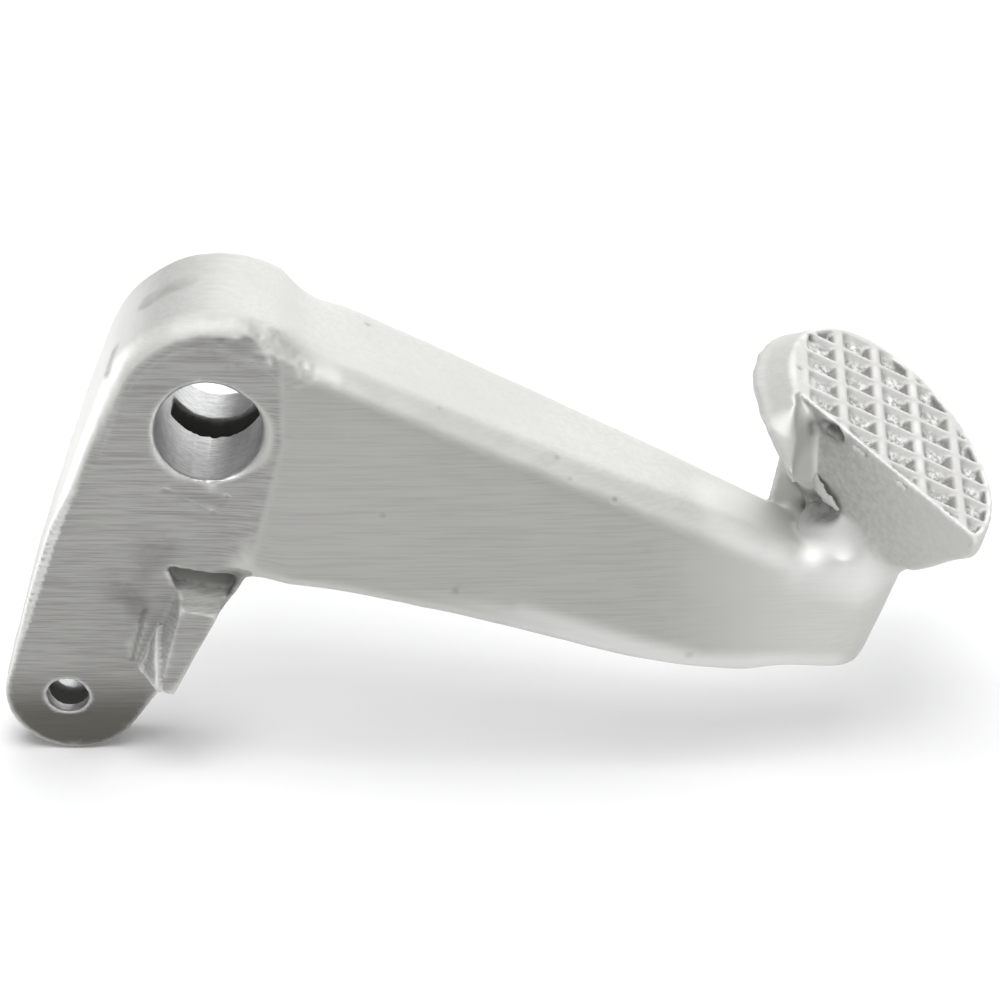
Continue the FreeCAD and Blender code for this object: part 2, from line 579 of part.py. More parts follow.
# Bores along Y with chamfered mouths.
cuts = [slot, hollow]
for name, x, z, radius in (("pivot_bore", "0", "0", "sizes.bore_diameter / 2"),
                           ("pin_hole", "sizes.pin_x", "sizes.pin_z", "sizes.pin_diameter / 2")):
    made = doc.addObject("Part::Cylinder", name)
    made.Placement.Rotation = FreeCAD.Rotation(FreeCAD.Vector(1, 0, 0), -90)
    bind(made, Radius=radius, Height="2 * sizes.bore_length", Placement__Base__x=x,
         Placement__Base__y="-sizes.bore_length", Placement__Base__z=z)
    cuts.append(made)
for name, y, wide, narrow in (
    ("front_mouth", "-sizes.bore_length / 2", "Radius1", "Radius2"),
    ("rear_mouth", "sizes.bore_length / 2 - 2 * sizes.bore_chamfer", "Radius2", "Radius1"),
):
    made = doc.addObject("Part::Cone", name)
    made.Placement.Rotation = FreeCAD.Rotation(FreeCAD.Vector(1, 0, 0), -90)
    bind(made, Height="2 * sizes.bore_chamfer", Placement__Base__y=y)
    made.setExpression(wide, "sizes.bore_diameter / 2 + sizes.bore_chamfer")
    made.setExpression(narrow, "sizes.bore_diameter / 2 - sizes.bore_chamfer")
    cuts.append(made)

# Tread: a shallow oval recess crossed by two sets of drafted ribs.
field = oval("field_oval", "sizes.pad_length / 2 - sizes.border", "sizes.pad_width / 2 - sizes.border",
             "sizes.pad_shift", "sizes.pad_side", "sizes.cell_depth")
recess = doc.addObject("Part::Extrusion", "tread_recess")
recess.Base = field
recess.DirMode = "Normal"
recess.Solid = True
bind(recess, LengthFwd="sizes.cell_depth + sizes.tread_margin")
flat = FreeCAD.Rotation(FreeCAD.Vector(1, 0, 0), 90)
square = FreeCAD.Rotation(FreeCAD.Vector(0, 0, 1), 90)
grow = "sizes.rib_width / 2 + sizes.cell_draft * (1 + sizes.tread_margin / sizes.cell_depth)"
crest = "sizes.rib_width / 2 - sizes.cell_draft * sizes.tread_margin / sizes.cell_depth"
ribs = []
for count, pitch, start, turn in (
    ((-4, 2), "sizes.cell_across", "sizes.cell_across_start", flat),
    ((-5, 5), "sizes.cell_along", "sizes.cell_along_start", square.multiply(flat)),
):
    for k in range(count[0], count[1] + 1):
        made = doc.addObject("Part::Wedge", "tread_rib")
        shift = "(%s + %d * %s)" % (start, k, pitch)
        bind(
            made,
            Ymin="-sizes.cell_depth - sizes.tread_margin",
            Ymax="sizes.tread_margin",
            Xmin="%s - (%s)" % (shift, grow),
            Xmax="%s + %s" % (shift, grow),
            X2min="%s - (%s)" % (shift, crest),
            X2max="%s + %s" % (shift, crest),
            Zmin="-sizes.pad_length * 0.6",
            Zmax="sizes.pad_length * 0.6",
            Z2min="-sizes.pad_length * 0.6",
            Z2max="sizes.pad_length * 0.6",
        )
        ribs.append(in_pad_frame(made, "0", "0", "0", turn))
grid = doc.addObject("Part::MultiFuse", "tread_ribs")
grid.Shapes = ribs + [trim_block("tread_trim", number("sizes.border"), 0)]
pockets = doc.addObject("Part::Cut", "tread_pockets")
pockets.Base = recess
pockets.Tool = grid
cuts.append(pockets)

pedal = solid
for made in cuts:
    following = doc.addObject("Part::Cut", "cut_" + made.Name)
    following.Base = pedal
    following.Tool = made
    following.Refine = True
    pedal = following
pedal.Label = "brake_pedal"
doc.recompute()

for made in doc.Objects:
    if "Invalid" in made.State or "Error" in made.State:
        raise SystemExit("%s: %s" % (made.Name, made.State))
shape = pedal.Shape
if not shape.isValid() or len(shape.Solids) != 1:
    raise SystemExit("brake_pedal: %d solids, valid %s" % (len(shape.Solids), shape.isValid()))
os.makedirs("parts", exist_ok=True)
shape.exportStep("parts/%s.step" % pedal.Label)
print("brake_pedal", round(shape.Volume / 1000, 2), "cm3", shape.BoundBox)
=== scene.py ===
import math

import bmesh
import bpy
import numpy as np
from mathutils import Matrix, Vector


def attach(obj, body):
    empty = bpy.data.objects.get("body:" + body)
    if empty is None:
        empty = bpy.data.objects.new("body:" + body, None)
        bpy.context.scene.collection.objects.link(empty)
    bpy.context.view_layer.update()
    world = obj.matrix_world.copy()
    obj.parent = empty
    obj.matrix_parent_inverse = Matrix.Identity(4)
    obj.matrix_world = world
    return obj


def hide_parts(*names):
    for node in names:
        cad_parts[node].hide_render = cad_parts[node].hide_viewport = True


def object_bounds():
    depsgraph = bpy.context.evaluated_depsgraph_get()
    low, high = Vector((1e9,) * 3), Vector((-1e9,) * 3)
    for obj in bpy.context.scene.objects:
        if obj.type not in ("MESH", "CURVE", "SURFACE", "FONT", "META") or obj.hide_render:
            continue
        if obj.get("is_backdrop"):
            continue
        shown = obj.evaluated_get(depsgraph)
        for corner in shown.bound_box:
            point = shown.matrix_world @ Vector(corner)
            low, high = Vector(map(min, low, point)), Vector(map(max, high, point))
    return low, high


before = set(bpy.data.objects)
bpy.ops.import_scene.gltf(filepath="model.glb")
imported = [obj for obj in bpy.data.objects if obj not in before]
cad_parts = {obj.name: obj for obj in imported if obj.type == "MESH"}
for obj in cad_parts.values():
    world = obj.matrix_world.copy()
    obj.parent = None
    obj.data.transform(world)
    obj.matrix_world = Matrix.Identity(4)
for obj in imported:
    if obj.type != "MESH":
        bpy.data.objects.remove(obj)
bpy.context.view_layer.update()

# Lengths below are in millimetres; meshes are written in metres.
MM = 0.001

# Mesh of the casting: the step of its even grid, the distance within which the solid's vertices are one,
# and the number of triangles that is kept.
VOXEL = 0.42
WELD = 0.001
TRIANGLES = 190000

# Bores along Y.
BORE_RADIUS = 8.0
PIN = np.array((-23.3, -49.6))
PIN_RADIUS = 3.25

# Leg, from the middle of the hub to the middle of its rounded end, in X and Z, and its left flank's bulge.
LEG_TOP = np.array((0.9, 0.5))
LEG_TIP = np.array((-22.2, -49.2))
FLANK_BULGE = 1.0

# Waves of the mould: height, size and seed.
WAVES = (0.20, 16, 3), (0.07, 4.5, 7), (0.02, 1.3, 9)

# Spot face above the bore: its radius, the width of its rim and its depth.
SPOT_RADIUS, SPOT_RIM, SPOT_DEPTH = 12.9, 0.5, 0.28

# Tread: the least X at which it is looked for, its tilt, its middle, the direction along the arm and the
# direction away from it.
TREAD_START = 80.0
TREAD_TILT = math.radians(26.2)
TREAD_MIDDLE = np.array((104.2, -1.5, -5.2))
TREAD_ALONG = np.array((math.cos(TREAD_TILT), 0, -math.sin(TREAD_TILT)))
TREAD_UP = np.array((math.sin(TREAD_TILT), 0, math.cos(TREAD_TILT)))

# The tread's oval, along the arm and along Y: its turn, middle, half sizes and its long axis's direction.
OVAL_TURN = math.radians(81.7)
OVAL_MIDDLE = np.array((-1.7, -2.2))
OVAL_HALF = np.array((32.6, 16.3))
OVAL_WAY = np.array((math.cos(OVAL_TURN), -math.sin(OVAL_TURN)))

# The pad's straight side: its outward direction, a place on it and its hub end.
SIDE_OUT = np.array((-0.721, -0.648, -0.243))
SIDE_PLACE = np.array((91.4, -2.9, -11.9))
SIDE_START = 88.0

# Top of the arm: its height over the bore, its fall, the start, length and height of its upward curl to the
# pad, and its forward lean there.
ARM_TOP = 18.8
ARM_FALL = math.radians(24.5)
CURL_START, CURL_LENGTH, CURL_RISE = 91.0, 9.0, 6.0
SADDLE_LEAN = 0.65

# Middle of the hollow under the arm, from its hub end to its pad end.
ARM_CORE = ((15, -1.5, -12), (78, -1.5, -32))

# Rim at the hub end of the pad: where its forward part begins, the share of that part that is drawn back,
# the reach over which this sets in, and the way back and down.
RIM_START, RIM_SHARE, RIM_EASE = -8.0, 0.85, 4.0
RIM_WAY = np.array((-0.021, 0.906, -0.423))

# Fill of the corner at the hub end of the straight side: its reach forward and its length along the arm.
FILL_REACH, FILL_LENGTH = 9.0, 4.4

# Junctions that run into each other without an edge: two ends of a line, radius, fade.
BLENDS = (
    ((14.0, -16.2, 11.0), (6.0, -15.0, -23.0), 2.0, 5.0),
    ((14.6, -10.0, 12.0), (14.6, 10.0, 12.0), 1.0, 5.0),
    ((13.5, 12.5, 10.0), (6.0, 12.5, -22.0), 1.0, 4.0),
    ((90.5, -10.0, -31.0), (86.5, -10.2, -39.0), 2.0, 3.5),
    ((91.0, -8.6, -24.2), (90.5, -10.0, -31.0), 1.2, 2.8),
    ((94.5, -3.0, -22.0), (100.0, -9.5, -20.0), 1.5, 3.0),
    ((101.5, -10.0, -24.0), (103.0, -8.0, -24.0), 1.5, 4.0),
    ((90.0, 7.0, -22.0), (86.5, 7.2, -36.0), 1.5, 4.0),
    ((89.5, -7.0, -44.2), (89.5, 4.0, -44.2), 3.0, 6.0),
)

# Lesser roundings: the lower rims of the pad, the wall just under its straight edge, the elbow's lower corner
# and the saddle's front edge.
SOFT_EDGES = (
    ((88.0, -28.5, -3.5), (113.5, -26.5, -14.5), 1.0, 2.5),
    ((113.0, -28.5, -12.5), (116.0, -20.0, -15.0), 1.5, 3.0),
    ((104.0, -13.0, -22.5), (113.5, -25.0, -16.5), 1.0, 2.5),
    ((87.6, -4.8, 1.0), (113.7, -28.7, -11.7), 0.6, 1.2),
    ((93.0, -9.5, -42.0), (98.5, -6.0, -39.0), 2.0, 4.0),
    ((90.5, -8.2, -23.3), (98.5, -9.2, -24.5), 1.2, 2.5),
)

# Painted highlights, as lines with radius and fade: the saddle, the gusset lightened out of its shade, and
# the arm's lower front edge with the front of the elbow.
SADDLE_HIGHLIGHT = ((80, -4, -18), (98, -8, -21), 5, 6)
GUSSET_LIGHT = ((85.5, 0, -19), (87.5, -4, -9), 3, 4)
EDGE_HIGHLIGHTS = (
    ((24.0, -15.6, -26.0), (46.7, -14.0, -31.4), 0.6, 2.5),
    ((46.7, -14.0, -31.4), (74.1, -10.8, -40.6), 1.0, 3.0),
    ((74.1, -10.8, -40.6), (94.0, -8.8, -42.0), 1.0, 3.0),
    ((90.0, -8.5, -23.0), (98.0, -9.0, -26.0), 1.0, 6.0),
)

# Lines of the marks: the chisel cut below the bore, the crevice beside the lug, the scuffed rim beside the
# spot face, the slag in the tread, the torn place on the pad's straight edge and the dent under it, painted
# dark as a shadow.
CHISEL_CUT = (
    ((-6.9, -15.7, -9.7), (2.8, -15.6, -10.8)),
    ((2.8, -15.6, -10.8), (0.5, -15.1, -13.7)),
    ((-6.9, -15.7, -9.7), (0.5, -15.1, -13.7)),
)
CREVICE = ((-10.4, -10.2, -32.5), (-13.0, -7.6, -42.3))
SCUFF = ((6.6, -14.8, 16.2), (14, -16.2, 9.6))
SLAG = ((90, 20, 0), (90.5, 0, 0))
TORN_PLACE = ((90.5, -5.2, -2.2), (93.8, -9.0, -2.4))
SHADOW_DENT = ((89.5, -1, -18), (93.0, -4, -17.2))

# Dark stains and painted shade: two ends of a line, radius, fade and darkness. They are dark patches on the
# leg, painted shade in the crevice and in the corner under the lug, the ground patch and flecks on the hub,
# painted shade in the band above the spot face, the chisel cut, a painted shadow in the dent, and the torn
# place.
STAINS_AND_SHADE = (
    ((-7.7, -13.6, -19.9), (-14.2, -11.2, -28.6), 0.8, 3.5, 0.45),
    ((-11.4, -10.2, -32.5), (-14.2, -11.2, -26.0), 0.6, 2.5, 0.55),
    (*CREVICE, 0.1, 0.45, 1.0),
    ((3.7, -12.1, -25.5), (2.5, -11.2, -28.8), 0.4, 1.0, 1.0),
    ((-9.3, -1.8, 15.3), (-4.4, -0.4, 17.7), 2.0, 0.7, 0.35),
    ((-14.4, -9.2, 10.0), (-15.0, -12.8, 8.5), 0.6, 1.6, 0.5),
    ((-2.3, -16.1, 15.1), (1.4, -15.0, 17.0), 0.5, 3.0, 0.35),
    ((1.4, -15.0, 17.0), (5.9, -15.5, 15.7), 0.5, 3.0, 0.35),
    ((-4.0, -15.7, -10.4), (1.5, -15.4, -11.8), 0.4, 1.0, 0.25),
    (*SHADOW_DENT, 1.0, 2.5, 1.0),
    (*TORN_PLACE, 1.0, 1.6, 0.5),
)

# Torn flake above the shadowed dent: its two ends, half width, half thickness, arch and sway.
FLAKE_START, FLAKE_END = np.array((91.2, -3.0, -11.2)), np.array((94.6, -5.4, -17.0))
FLAKE_HALF_WIDTH, FLAKE_HALF_THICKNESS = 1.2, 0.42
FLAKE_ARCH, FLAKE_SWAY = 0.55, 0.5

# Shares that are painted on the mesh for the metal.
LAYERS = ("machined", "pockets", "ends", "side", "recess_shade", "front",
          "flat", "arm", "tip", "stain_and_shade", "hollow", "edge")

# Small pits from the mould: centre, radius, depth.
PITS = (
    ((2.2, -16.4, 14.6), 0.8, 0.25),
    ((3.2, -16.5, 10.7), 0.5, 0.25),
    ((4.7, -16.5, 11.1), 0.5, 0.25),
    ((-14.4, -9.2, 10.0), 0.9, 0.25),
    ((-15.0, -12.8, 8.5), 0.7, 0.25),
    ((23.1, 6.2, 8.3), 0.6, 0.25),
    ((34.6, -12.5, 2.6), 0.5, 0.15),
    ((26.1, -16.0, -13.5), 0.5, 0.25),
    ((36.9, -15.3, -26.3), 0.6, 0.30),
    ((52.3, -11.6, -5.7), 0.5, 0.15),
    ((60.8, -13.1, -11.9), 0.5, 0.20),
    ((72.4, -11.7, -38.4), 0.7, 0.25),
    ((54.2, -13.5, -8.4), 0.45, 0.15),
    ((88.5, 4.6, 1.8), 0.8, 0.60),
    ((90.9, 19.3, 0.9), 1.0, 0.50),
)


def lattice_value(cell, seed):
    """A fixed number from 0 to 1 for each whole-numbered lattice point: products with large primes, mixed."""
    mixed = cell[:, 0] * 73856093 ^ cell[:, 1] * 19349663 ^ cell[:, 2] * 83492791 ^ seed * 2654435761
    mixed = (mixed ^ mixed >> 13) * 1274126177 & 0xFFFFFFFF
    return (mixed ^ mixed >> 16 & 0xFFFF) % 65536 / 65535


def soft_noise(points, size, seed):
    """Value noise from -1 to 1: lattice numbers at the corners of a cell, weighted by smoothed distances."""
    scaled = points / size
    cell = np.floor(scaled).astype(np.int64)
    part = scaled - cell
    part = part * part * (3 - 2 * part)
    total = np.zeros(len(points))
    for corner in np.ndindex(2, 2, 2):
        near = np.where(np.array(corner) == 1, part, 1 - part).prod(axis=1)
        total += near * lattice_value(cell + np.array(corner), seed)
    return 2 * total - 1


def smooth_step(value, low, high):
    """0 below low, 1 above high and a cubic ease between them."""
    share = np.clip((value - low) / (high - low), 0, 1)
    return share * share * (3 - 2 * share)


def line_distance(points, start, end):
    """Distance of each point from the line between two ends, and how far along it the nearest place is."""
    start, way = np.asarray(start, float), np.asarray(end, float) - np.asarray(start, float)
    along = np.clip((points - start) @ way / (way @ way), 0, 1)
    return np.linalg.norm(points - start - along[:, None] * way, axis=1), along


def near_line(points, start, end, radius, fade):
    """1 within a radius of the line between two ends, easing to 0 over the fade beyond it."""
    return 1 - smooth_step(line_distance(points, start, end)[0], radius, radius + fade)


def pit_reach(points, centre, radius):
    """Distance of each point from the middle of a pit, in radii."""
    return np.linalg.norm(points - np.array(centre), axis=1) / radius


def mesh_points(mesh):
    """The vertices of a mesh, one row each, in millimetres."""
    flat = np.empty(len(mesh.vertices) * 3, np.float32)
    mesh.vertices.foreach_get("co", flat)
    return flat.reshape(-1, 3).astype(float) / MM


def set_points(mesh, points):
    """Write rows of millimetres back as the vertices of a mesh."""
    mesh.vertices.foreach_set("co", (points * MM).ravel().astype(np.float32))
    mesh.update()


def mesh_normals(mesh):
    """The vertex normals of a mesh, one row each."""
    flat = np.empty(len(mesh.vertices) * 3, np.float32)
    mesh.vertex_normals.foreach_get("vector", flat)
    return flat.reshape(-1, 3).astype(float)


def mesh_edges(mesh):
    """The vertex pairs of a mesh's edges, one row each."""
    flat = np.empty(len(mesh.edges) * 2, np.int32)
    mesh.edges.foreach_get("vertices", flat)
    return flat.reshape(-1, 2)


def neighbour_mean(values, edges):
    """The mean of the rows of values over each vertex's neighbours."""
    count = len(values)
    ends = np.concatenate((edges[:, 0], edges[:, 1]))
    others = np.concatenate((edges[:, 1], edges[:, 0]))
    degree = np.maximum(np.bincount(ends, minlength=count), 1)
    sums = [np.bincount(ends, weights=column, minlength=count) for column in values[others].T]
    return np.stack(sums, axis=1) / degree[:, None]


def relaxed(points, edges, share, rounds):
    """Smoothing that keeps the volume: each round moves a vertex by its share of the way to the mean of its
    neighbours, and then nearly as far back by the same rule."""
    for _ in range(rounds):
        points = points + share[:, None] * (neighbour_mean(points, edges) - points)
        points = points - 0.92 * share[:, None] * (neighbour_mean(points, edges) - points)
    return points


def faired(points, edges, share, rounds):
    """A stretched skin over part of a mesh: each round moves a vertex by its share of the way to the mean of
    its neighbours, and vertices with no share hold the rim."""
    pairs = edges[(share[edges] > 0).any(axis=1)]
    used, pairs = np.unique(pairs, return_inverse=True)
    pairs = pairs.reshape(-1, 2)
    skin, pull = points[used], share[used][:, None]
    for _ in range(rounds):
        skin = skin + pull * (neighbour_mean(skin, pairs) - skin)
    points = points.copy()
    points[used] = skin
    return points


def evaluated_mesh(piece, kind, **settings):
    """A new mesh: the piece's mesh with one modifier of the given kind applied."""
    modifier = piece.modifiers.new(kind.lower(), kind)
    for name, value in settings.items():
        setattr(modifier, name, value)
    ready = piece.evaluated_get(bpy.context.evaluated_depsgraph_get())
    mesh = bpy.data.meshes.new_from_object(ready)
    piece.modifiers.remove(modifier)
    return mesh


def in_oval(points):
    """How far out each point lies in the tread's oval: 0 at its middle, 1 on its edge."""
    across = points - TREAD_MIDDLE
    flat = np.stack((across @ TREAD_ALONG, across[:, 1]), axis=1) - OVAL_MIDDLE
    long_way, short_way = flat @ OVAL_WAY, flat @ np.array((-OVAL_WAY[1], OVAL_WAY[0]))
    return np.hypot(long_way / OVAL_HALF[0], short_way / OVAL_HALF[1])


def tread_depth(points):
    """How far below the tread's plane each point lies."""
    return -(points - TREAD_MIDDLE) @ TREAD_UP


def ahead_of_side(points):
    """How far in front of the pad's straight side each point lies."""
    return (points - SIDE_PLACE) @ SIDE_OUT


def below_tread(points):
    """1 away from the pad and under its tread, easing to 0 at the tread itself."""
    return np.where(points[:, 0] > TREAD_START, smooth_step(tread_depth(points), 0.8, 3.0), 1.0)


def lower_rim(points):
    """1 on the pad's curved outer rim where it turns under, easing to 0 above and below it."""
    depth = tread_depth(points)
    band = smooth_step(depth, 3.0, 5.0) * (1 - smooth_step(depth, 10.0, 13.0))
    return band * smooth_step(in_oval(points), 0.86, 0.96) * (points[:, 0] > 76)


def hub_end_corner(points):
    """1 along the corner between the pad's hub end and its straight side, under the tread, easing to 0
    around it."""
    depth = tread_depth(points)
    band = 1 - smooth_step(abs(points[:, 0] - SIDE_START - 0.4), 1.0, 3.0)
    return band * smooth_step(depth, 0.8, 2.2) * (1 - smooth_step(depth, 15, 18)) * (points[:, 1] < 5)


def regions(points, normals):
    """Shares from 0 to 1 of each vertex in the machined holes, the tread and its pockets, the shaded pocket
    ends, the pad's straight side, the raw skin of hidden hollows, the flat front of hub, leg and lug, that of
    the arm, the arm and the leg's tip; the straight side, the hidden hollows and the fronts are painted in
    shade."""
    x, y, z = points.T
    bore = np.hypot(x, z)
    pin = np.hypot(x - PIN[0], z - PIN[1])
    depth = tread_depth(points)

    # Turned holes.
    machined = np.maximum(1 - smooth_step(bore, BORE_RADIUS + 0.2, BORE_RADIUS + 0.6),
                          1 - smooth_step(pin, PIN_RADIUS + 0.1, PIN_RADIUS + 0.5))

    # Tread, the floors of its pockets, their ends that face the hub, and the pad's straight side, which is
    # painted in shade.
    near_plane = (x > TREAD_START) * (depth < 2.6) * (depth > -1.5)
    over_pad = near_plane * (1 - smooth_step(in_oval(points), 0.97, 1.0)) * (ahead_of_side(points) < -0.3)
    pockets = over_pad * smooth_step(depth, 0.4, 1.2) * smooth_step(normals @ TREAD_UP, 0.3, 0.7)
    ends = over_pad * smooth_step(depth, 0.2, 0.7) * smooth_step(-normals @ TREAD_ALONG, 0.2, 0.55)
    side = smooth_step(normals @ SIDE_OUT, 0.75, 0.95) * smooth_step(x, SIDE_START - 1, SIDE_START)

    # Slot between the ears, and the hollow under the arm: their raw skin is painted dark as shade.
    facing_in = np.where(y < 1, normals[:, 1], -normals[:, 1]) > 0.8
    slot = (y > -2.4) * (y < 7.6) * (x < 16) * (z < 4.2) * (bore > BORE_RADIUS + 0.2) * facing_in
    under = line_distance(points, *ARM_CORE)[0] < 11
    hollow = under * (x > 14.5) * (x < 78.5) * (abs(y + 1.5) < 9.4) * (normals[:, 2] < 0.2)

    # Hub and leg up to a slanting border with the arm, the lug's front, the arm's front and the leg's tip;
    # the fronts of hub, leg, lug and arm are darkened as painted shade.
    border = 11.2 + 0.25 * np.minimum(z + 2, 0)
    hub = 1 - smooth_step(x - border, -0.8, 0.8)
    front = smooth_step(-normals[:, 1], 0.85, 0.97) * hub * (1 - machined)
    lug = (x > -16) * (x < 6) * (z < -24) * (z > -46) * (y < -9.5)
    flat = smooth_step(-normals[:, 1], 0.75, 0.97) * (1 - hub) * (1 - smooth_step(x, 64, 94))
    tip = smooth_step(-z, 43, 54) * (1 - smooth_step(x, -12, -8))
    return {"machined": machined, "tread": over_pad, "pockets": pockets, "ends": ends, "side": side,
            "recess_shade": np.maximum(slot, hollow), "front": np.maximum(front, lug), "flat": flat,
            "arm": smooth_step(x, 8, 16), "tip": tip}


def curled_end(points):
    """The end of the arm without the part of the elbow that stands in front of the pad's straight side: its
    vertices go down to the arm's top, or back to the side's plane. The top curls up as the square of the
    distance along it, and leans forward more and more towards the pad."""
    x, y, z = points.T
    curl = np.clip((x - CURL_START) / CURL_LENGTH, 0, 1.3)
    lean = SADDLE_LEAN * smooth_step(x, 88, 94) * np.clip(y + 10, 0, 8)
    over = z - (ARM_TOP - math.tan(ARM_FALL) * x + CURL_RISE * curl * curl + lean)
    ahead = ahead_of_side(points)
    cut = (over > 0) * (ahead > 0) * (x > SIDE_START + 0.8) * (y < 3.6) * (tread_depth(points) > 11)
    nearer_top = over * math.cos(ARM_FALL) < ahead
    down = (cut * nearer_top * over)[:, None] * np.array((0, 0, 1.0))
    back = (cut * ~nearer_top * ahead)[:, None] * SIDE_OUT
    return points - down - back


def blunt_end(points):
    """The hub end of the pad with a steeper rim in place of a thin forward point: vertices in front of its
    start slide back and down, by a distance that begins as the square of how far forward they are and then
    grows with it."""
    x, y, _ = points.T
    end = (x > 74) * (x < SIDE_START + 0.6) * (tread_depth(points) < 16)
    forward = np.clip(RIM_START - y, 0, None) * end
    slide = RIM_SHARE * forward * forward / (forward + RIM_EASE)
    return points + slide[:, None] * RIM_WAY


def filled_corner(points):
    """The inner corner between the pad's hub end and its straight side, filled: vertices in front of the side
    go forward along Y to a surface that leaves the side as the square of the distance to the fill's end."""
    x, y, _ = points.T
    ahead = ahead_of_side(points)
    depth = tread_depth(points)
    left = np.clip((SIDE_START + FILL_LENGTH - x) / FILL_LENGTH, 0, 1)
    deep = smooth_step(depth, 1.0, 4.0) * (1 - smooth_step(depth, 13.0, 17.0))
    front = y - ahead / SIDE_OUT[1] - FILL_REACH * deep * left * left
    corner = (x > SIDE_START - 0.25) * (left > 0) * (depth > 1.0) * (depth < 17.0)
    inside = corner * (ahead > -0.35) * (y > front)
    filled = points.copy()
    filled[:, 1] = np.where(inside, front, y)
    return filled


def shaped(points, normals):
    """The casting's true surface: a fuller leg flank, a spot face above the bore, waves, rough pocket floors,
    torn places and pits, all as moves along the normal."""
    share = regions(points, normals)
    x, y, z = points.T
    move = np.zeros(len(points))

    # Fuller left flank of the leg: a long bulge, highest halfway down.
    leg = LEG_TIP - LEG_TOP
    down = (points[:, [0, 2]] - LEG_TOP) @ leg / (leg @ leg)
    flank = smooth_step(-normals[:, 0], 0.35, 0.8) * (x < -8)
    move += FLANK_BULGE * flank * np.clip(np.sin(math.pi * np.clip(down, 0, 1)), 0, 1)

    # Spot face, a little deeper than the face around it, with a raised scuffed rim beside it.
    bore = np.hypot(x, z)
    spot = 1 - smooth_step(bore, SPOT_RADIUS, SPOT_RADIUS + SPOT_RIM)
    move -= SPOT_DEPTH * (spot * smooth_step(z, 3, 7) * (y < -14) * (bore > BORE_RADIUS))
    scuff = near_line(points, *SCUFF, 1.5, 2.5)
    move += scuff * (0.10 + 0.16 * soft_noise(points, 0.9, 21))

    # Groove of the chisel cut below the bore, and the crevice beside the lug.
    for cut in CHISEL_CUT:
        move -= 0.16 * near_line(points, *cut, 0.15, 0.5)
    move -= 0.4 * near_line(points, *CREVICE, 0.05, 0.4)

    # Waves of the mould, none in the machined holes and few on the pad; the rim gets back what fairing took.
    wave = sum(height * soft_noise(points, size, seed) for height, size, seed in WAVES)
    move += wave * (1 - share["machined"]) * (1 - 0.75 * smooth_step(x, 68, 77))
    move += 0.4 * lower_rim(points)

    # Rough floors of the tread's pockets; those near the hub end are half filled with slag, and those along
    # the straight edge rise to it.
    floor = share["pockets"]
    slag = floor * near_line(points, *SLAG, 1.5, 3.0)
    ledge = floor * smooth_step(ahead_of_side(points), -3.0, -1.0)
    move += floor * (0.22 * soft_noise(points, 1.1, 31) + 0.12 * soft_noise(points, 0.6, 37))
    move += slag * (0.65 + 0.25 * soft_noise(points, 1.8, 41)) + 0.9 * ledge

    # Torn place on the straight edge of the pad, and the dent under it, which is also painted dark as a
    # shadow.
    torn = near_line(points, *TORN_PLACE, 0.8, 1.6)
    move += torn * (-0.55 + 0.5 * soft_noise(points, 1.0, 51))
    rim = near_line(points, *SHADOW_DENT, 0.8, 1.8)
    move += rim * (-0.9 + 0.5 * soft_noise(points, 0.9, 53))

    # Pits, as rounded bowls.
    for centre, radius, deep in PITS:
        reach = pit_reach(points, centre, radius)
        move -= deep * np.clip(1 - reach * reach, 0, 1) ** 2
    return points + move[:, None] * normals


def cast_body():
    """The casting: the solid's surface as an even fine mesh with softened edges, blends, waves and flaws."""
    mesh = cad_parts["brake_pedal"].data.copy()
    shell = bmesh.new()
    shell.from_mesh(mesh)
    bmesh.ops.remove_doubles(shell, verts=shell.verts, dist=WELD * MM)
    shell.to_mesh(mesh)
    shell.free()
    piece = bpy.data.objects.new("casting", mesh)
    bpy.context.scene.collection.objects.link(piece)
    piece.data = evaluated_mesh(piece, "REMESH", mode="VOXEL", voxel_size=VOXEL * MM, adaptivity=0.0)
    mesh = piece.data
    points, edges = filled_corner(blunt_end(curled_end(mesh_points(mesh)))), mesh_edges(mesh)
    for places, rounds in ((SOFT_EDGES, 60), (BLENDS, 300)):
        blend = np.max([near_line(points, *given) for given in places], axis=0)
        points = faired(points, edges, 0.5 * blend * below_tread(points), rounds)
    points = faired(points, edges, 0.5 * hub_end_corner(points), 80)
    points = faired(points, edges, 0.5 * lower_rim(points), 40)
    set_points(mesh, points)
    share = regions(points, mesh_normals(mesh))
    keep = np.maximum(share["tread"], share["machined"])
    points = relaxed(points, edges, 0.5 * (1 - 0.75 * keep), 8)
    set_points(mesh, points)
    set_points(mesh, shaped(points, mesh_normals(mesh)))
    mesh.calc_loop_triangles()
    piece.data = evaluated_mesh(piece, "DECIMATE", ratio=min(1.0, TRIANGLES / len(mesh.loop_triangles)))
    mesh = piece.data
    mesh.polygons.foreach_set("use_smooth", np.ones(len(mesh.polygons), bool))
    paint(mesh)
    finish_piece(piece)
    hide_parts("brake_pedal")


